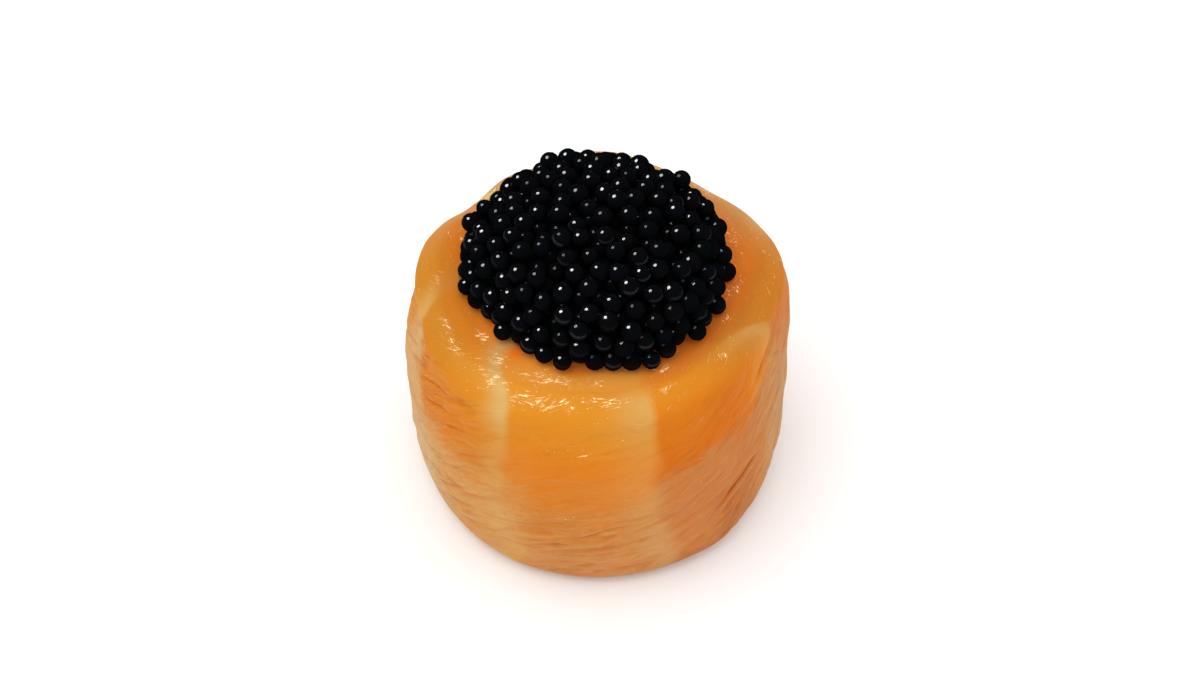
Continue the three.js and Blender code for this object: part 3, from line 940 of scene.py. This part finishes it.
def settle_eggs(count, first, depth, fixed, shake, lowest):
    """Centres of one layer of eggs, the fixed ones first. The free ones start on a shaken sunflower pattern
    over a half ball. At each step every free egg moves away from those nearer than the spacing by a share
    of what is missing, while the spacing closes up. Then they are shaken, and part to the least spacing."""
    number = np.arange(count)
    turned = (number + PATTERN_SHAKE * (draw(number + first, 1) - 0.5)) * GOLDEN_ANGLE
    down = (number + 0.5 + PATTERN_SHAKE * (draw(number + first, 2) - 0.5)) / count
    out = HEAP_RADIUS * np.sqrt(1 - (1 - down) ** 2)
    up = HEAP_FOOT + HEAP_HEIGHT * (1 - down)
    free = np.stack([out * np.cos(turned), out * np.sin(turned) + HEAP_BACK, up], -1)
    grow = DEPTH_SPREAD * (2 * draw(number + first, 3) - 1) - depth
    held = len(fixed)
    jolt = draw_three(number + first, 31) - 0.5
    for step in range(SETTLING_STEPS + PARTING_STEPS):
        spacing = FIRST_SPACING + (EGG_SPACING - FIRST_SPACING) * step / SETTLING_STEPS
        if step == SETTLING_STEPS:
            free = free + shake * jolt
        if step >= SETTLING_STEPS:
            spacing = LAST_SPACING
        points = np.vstack([fixed, free])
        between = free[:, None] - points[None]
        apart = np.linalg.norm(between, axis=-1)
        apart[number, number + held] = FAR_AWAY  # no egg pushes itself
        push = np.where(apart < spacing, PUSH_SHARE * (spacing - apart) / apart, 0)
        free = onto_heap(free + (between * push[..., None]).sum(1), grow, lowest)
    return np.vstack([fixed, free])


fixed_eggs = chosen_eggs()
outer_eggs = settle_eggs(EGG_COUNT - len(fixed_eggs), 0, 0, fixed_eggs, JOLT, SECOND_ROW)
outer_radius = EGG_RADIUS * (1 + SIZE_SPREAD * (2 * draw(np.arange(EGG_COUNT), 4) - 1))
outer_eggs[:, 2] = np.maximum(outer_eggs[:, 2], HEAP_FOOT + outer_radius)
inner_eggs = settle_eggs(INNER_COUNT, INNER_FIRST, INNER_DEPTH, np.empty((0, 3)), 0, FOOT_ROW)
inner_draws = draw(np.arange(INNER_COUNT) + INNER_FIRST, 4)
inner_radius = INNER_SIZE * EGG_RADIUS * (1 + SIZE_SPREAD * (2 * inner_draws - 1))


# ---- Black roe: the eggs ----
# Each egg is a glossy ball of about 2 mm, a hair out of round. All of them are one mesh, made by moving one
# ball's points to every centre at once.
OUTER_CELLS = 4
INNER_CELLS = 3
EGG_STRETCH = 0.04
CRESCENT_AXIS = np.array([0.1, -0.35, 0.93])  # the way that counts as up on an egg


def egg_ball(cells):
    """A unit ball: a cube with cells by cells squares on each side, whose points are drawn in to the ball.
    The tangent of the angle spaces them evenly."""
    line = np.tan(np.linspace(-1, 1, cells + 1) * np.pi / 4)
    across, up = np.meshgrid(line, line, indexing="ij")
    sides = []
    for axis in range(3):
        for way in (1, -1):
            face = np.empty((cells + 1, cells + 1, 3))
            face[..., axis] = way
            face[..., (axis + 1) % 3] = across if way > 0 else up
            face[..., (axis + 2) % 3] = up if way > 0 else across
            sides.append(face)
    points = np.array(sides).reshape(-1, 3)
    points = points / np.linalg.norm(points, axis=1, keepdims=True)
    first = np.arange(cells)[:, None] * (cells + 1) + np.arange(cells)
    squares = np.stack([first, first + cells + 1, first + cells + 2, first + 1], -1).reshape(-1, 4)
    squares = (np.arange(6)[:, None, None] * (cells + 1) ** 2 + squares).reshape(-1, 4)
    kept, where = np.unique(np.round(points, 6), axis=0, return_inverse=True)
    return kept, where.reshape(-1)[squares]


def egg_heap(centres, radii, first, cells):
    """Points and faces of all eggs: the ball stretched a little along each axis, turned about two axes,
    scaled to each radius and moved to each centre. For each point it also gives the egg's number, how high
    it lies on the egg, and how far it lies on the egg's outer side."""
    ball, squares = egg_ball(cells)
    number = np.arange(len(centres)) + first
    stretch = 1 + EGG_STRETCH * (2 * draw_three(number, 11) - 1)
    shaped = ball[None] * stretch[:, None]
    for axis, purpose in ((2, 14), (0, 15)):
        turned = 2 * np.pi * draw(number, purpose)[:, None]
        a, b = shaped[..., (axis + 1) % 3], shaped[..., (axis + 2) % 3]
        cosines, sines = np.cos(turned), np.sin(turned)
        a, b = a * cosines - b * sines, a * sines + b * cosines
        shaped[..., (axis + 1) % 3], shaped[..., (axis + 2) % 3] = a, b
    points = shaped * radii[:, None, None] + centres[:, None]
    faces = squares[None] + (np.arange(len(centres)) * len(ball))[:, None, None]
    upward = shaped @ CRESCENT_AXIS
    away = centres - (0, HEAP_BACK, HEAP_FOOT)
    away = away / np.linalg.norm(away[:, :2], axis=1, keepdims=True)
    outward = (shaped[..., :2] * away[:, None, :2]).sum(-1)
    numbers = np.repeat(number, len(ball))
    return points.reshape(-1, 3), faces.reshape(-1, 4), numbers, upward.ravel(), outward.ravel()


outer_points, outer_faces, outer_number, outer_up, outer_out = egg_heap(
    outer_eggs, outer_radius, 0, OUTER_CELLS
)
inner_points, inner_faces, inner_number, inner_up, inner_out = egg_heap(
    inner_eggs, inner_radius, INNER_FIRST, INNER_CELLS
)
egg_points = np.vstack([outer_points, inner_points])
eggs = put_mesh("roe_eggs", egg_points, [outer_faces, inner_faces + len(outer_points)])

# Each egg has its own tint, gloss and share of painted crescent. Those of the foot row in front are
# glossier, and those of the inner layer are dull.
outer_gloss = draw(outer_number, 22)
outer_gloss = np.where(outer_number < len(FOOT_EGGS), 0.5 + 0.5 * outer_gloss, outer_gloss)
egg_values = {
    "egg_tint": (draw(outer_number, 21), draw(inner_number, 21)),
    "egg_gloss": (outer_gloss, 0 * inner_number),
    "egg_crescent_share": (draw(outer_number, 23), 0 * inner_number),
    "egg_up": (outer_up, inner_up),
    "egg_out": (outer_out, inner_out),
}
for name, layers in egg_values.items():
    keep_values(eggs, name, np.concatenate(layers))

BLUE_BLACK = (0.0023, 0.0029, 0.0040, 1)
PLUM_BLACK = (0.0028, 0.0027, 0.0034, 1)
GREEN_BLACK = (0.0022, 0.0029, 0.0030, 1)
PAINTED_CRESCENT = (0.021, 0.023, 0.027, 1)
PAINTED_SALMON_REFLECTION = (0.016, 0.0045, 0.0018, 1)
BROWN_BELOW = 28.2  # height under which the eggs take a brown tinge, a painted reflection of the salmon
BROWN_FULLY = 26.8
DIMPLE_DEPTH = 0.02

black_roe, wire = new_material("black_roe")
place = wire.node("ShaderNodeTexCoord", out=3)
tint = wire.read("egg_tint")
gloss = wire.read("egg_gloss")
height_of = wire.node("ShaderNodeSeparateXYZ", {}, {0: place}, out=2)
skin = tint.rise(0.35, 0.65).pick(tint.rise(0.0, 0.35).pick(GREEN_BLACK, BLUE_BLACK), PLUM_BLACK)
# Painted reflection: low eggs near the salmon are tinged brown.
skin = (height_of.rise(BROWN_BELOW * MM, BROWN_FULLY * MM) * 0.8).pick(skin, PAINTED_SALMON_REFLECTION)

# About half of the outer eggs get a soft pale crescent of painted reflected light part of the way up their
# outer side.
up = wire.read("egg_up")
crescent = up.rise(0.22, 0.4) * up.rise(0.62, 0.48) * wire.read("egg_out").rise(0.45, 0.8)
skin = (crescent * wire.read("egg_crescent_share").rise(0.5, 1.0)).pick(skin, PAINTED_CRESCENT)
dimples = wire.noise(place, 900, 1, 0.4) * gloss.rise(0.3, 1)
glossy_values = {
    "Base Color": skin,
    "Roughness": 0.09,
    "Normal": dimples.bump(DIMPLE_DEPTH),
    "IOR": 1.34,
    "Specular IOR Level": 0.11,
}
dull_values = {"Base Color": skin, "Roughness": 0.5, "Specular IOR Level": 0.0}
glossy = wire.node("ShaderNodeBsdfPrincipled", {}, glossy_values)
dull = wire.node("ShaderNodeBsdfPrincipled", {}, dull_values)
wire.node("ShaderNodeMixShader", {}, {0: gloss.rise(0.0, 1.0, 0.15, 1.0), 1: dull, 2: glossy}).show()
eggs.data.materials.append(black_roe)
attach(eggs, "root")
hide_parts("black_roe")


# ---- Black roe: the dark inside of the heap ----
# Under the two layers of eggs the heap goes on as more of the same. One closed dome stands for that part,
# and keeps light from passing between the eggs. Grains are drawn on it, with painted shade between them.
CORE_INSET = 1.9
CORE_FOOT = HEAP_FOOT + 0.2
CORE_ROWS = 24
CORE_COLUMNS = 96


def core_rings():
    """A dome on the heap's outline: its section is the cosine and the sine of a quarter turn, each to the
    power of 2 over the heap's squareness, times the radius and the height."""
    rising = np.linspace(0, np.pi / 2, CORE_ROWS + 1)[:-1, None]
    turned = 2 * np.pi * np.arange(CORE_COLUMNS) / CORE_COLUMNS
    out = np.cos(rising) ** (2 / HEAP_SQUARENESS) * (heap_radius(turned) - CORE_INSET)
    up = np.sin(rising) ** (2 / HEAP_SQUARENESS) * (HEAP_HEIGHT - CORE_INSET) + 0 * turned
    return np.stack([out * np.cos(turned), out * np.sin(turned) + HEAP_BACK, CORE_FOOT + up], -1)


core_points = core_rings().reshape(-1, 3)
core_poles = np.array([[0, HEAP_BACK, CORE_FOOT], [0, HEAP_BACK, CORE_FOOT + HEAP_HEIGHT - CORE_INSET]])
core_faces = ring_faces(CORE_ROWS, CORE_COLUMNS, len(core_points), len(core_points) + 1)
core = put_mesh("roe_inside", np.vstack([core_points, core_poles]), core_faces)

GRAIN = (0.006, 0.006, 0.010, 1)
# Painted shade in the gaps between the drawn grains.
SHADE_BETWEEN_GRAINS = (0.0015, 0.0015, 0.002, 1)
GRAIN_DEPTH = 0.6

inside, wire = new_material("roe_inside")
place = wire.node("ShaderNodeTexCoord", out=3)
from_grain = wire.node("ShaderNodeTexVoronoi", {}, {"Vector": place, "Scale": 520})
inside_values = {
    "Base Color": from_grain.rise(0.1, 0.7).pick(GRAIN, SHADE_BETWEEN_GRAINS),
    "Roughness": 0.6,
    "Specular IOR Level": 0.0,
    "Normal": (1 - from_grain).bump(GRAIN_DEPTH),
}
wire.node("ShaderNodeBsdfPrincipled", {}, inside_values).show()
core.data.materials.append(inside)
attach(core, "root")
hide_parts("black_roe")


# ---- Floor, light and camera ----
# A plain pale floor, even white light from all round, one broad soft lamp above, and a smaller lamp a
# little to the left, which casts no shadow and shows only as the glints on wet surfaces.
FLOOR_REACH = 2000.0
PALE_GREY = (0.90, 0.90, 0.90, 1)
PALER_GREY = (0.92, 0.92, 0.92, 1)

floor_corners = FLOOR_REACH * np.array([[-1, -1, 0], [1, -1, 0], [1, 1, 0], [-1, 1, 0]])
floor = put_mesh("floor", floor_corners, [np.array([[0, 1, 2, 3]])])
pale_finish, wire = new_material("pale_floor")
place = wire.node("ShaderNodeTexCoord", out=3)
speckle = wire.noise(place, 40, 2).pick(PALE_GREY, PALER_GREY)
floor_values = {"Base Color": speckle, "Roughness": 0.8, "Specular IOR Level": 0.1}
wire.node("ShaderNodeBsdfPrincipled", {}, floor_values).show()
floor.data.materials.append(pale_finish)
floor.visible_glossy = False

world = bpy.data.worlds.new("white_room")
bpy.context.scene.world = world
world.use_nodes = True
background = world.node_tree.nodes["Background"]
background.inputs["Color"].default_value = (1, 1, 1, 1)
background.inputs["Strength"].default_value = 1.06
world.cycles_visibility.glossy = False

LAMP_AIM = Vector((0, 0, 20)) * MM


def put_lamp(name, towards, distance, width, power):
    """A round area lamp in a direction from the drum's middle, facing it. Its distance and width are in
    metres and its power in watts."""
    light = bpy.data.lights.new(name, "AREA")
    light.shape = "DISK"
    light.size = width
    light.energy = power
    lamp = bpy.data.objects.new(name, light)
    direction = Vector(towards).normalized()
    lamp.location = direction * distance + LAMP_AIM
    lamp.rotation_euler = direction.to_track_quat("Z", "Y").to_euler()
    bpy.context.scene.collection.objects.link(lamp)
    return lamp


soft_lamp = put_lamp("soft_lamp", towards=(-0.25, -0.15, 1), distance=0.9, width=0.9, power=2.4)
soft_lamp.visible_glossy = False
glint_lamp = put_lamp("glint_lamp", towards=(-0.487, 0.134, 0.863), distance=0.9, width=0.5, power=110.0)
glint_lamp.visible_diffuse = False
glint_lamp.data.use_shadow = False

CAMERA_AWAY = 240.0
CAMERA_UP = np.radians(47.35)
CAMERA_AIM = Vector((0, 0, 13.585)) * MM
camera = bpy.data.objects.new("camera", bpy.data.cameras.new("camera"))
camera.location = CAMERA_AIM + Vector((0, -np.cos(CAMERA_UP), np.sin(CAMERA_UP))) * CAMERA_AWAY * MM
camera.rotation_euler = (np.pi / 2 - CAMERA_UP, 0, 0)
camera.data.sensor_width = 36
camera.data.lens = 65.47
camera.data.shift_x = 0.0025
camera.data.shift_y = 0.0203
camera.data.clip_start = 0.01
camera.data.clip_end = 20
bpy.context.scene.collection.objects.link(camera)
bpy.context.scene.camera = camera
bpy.context.scene.view_settings.view_transform = "Standard"
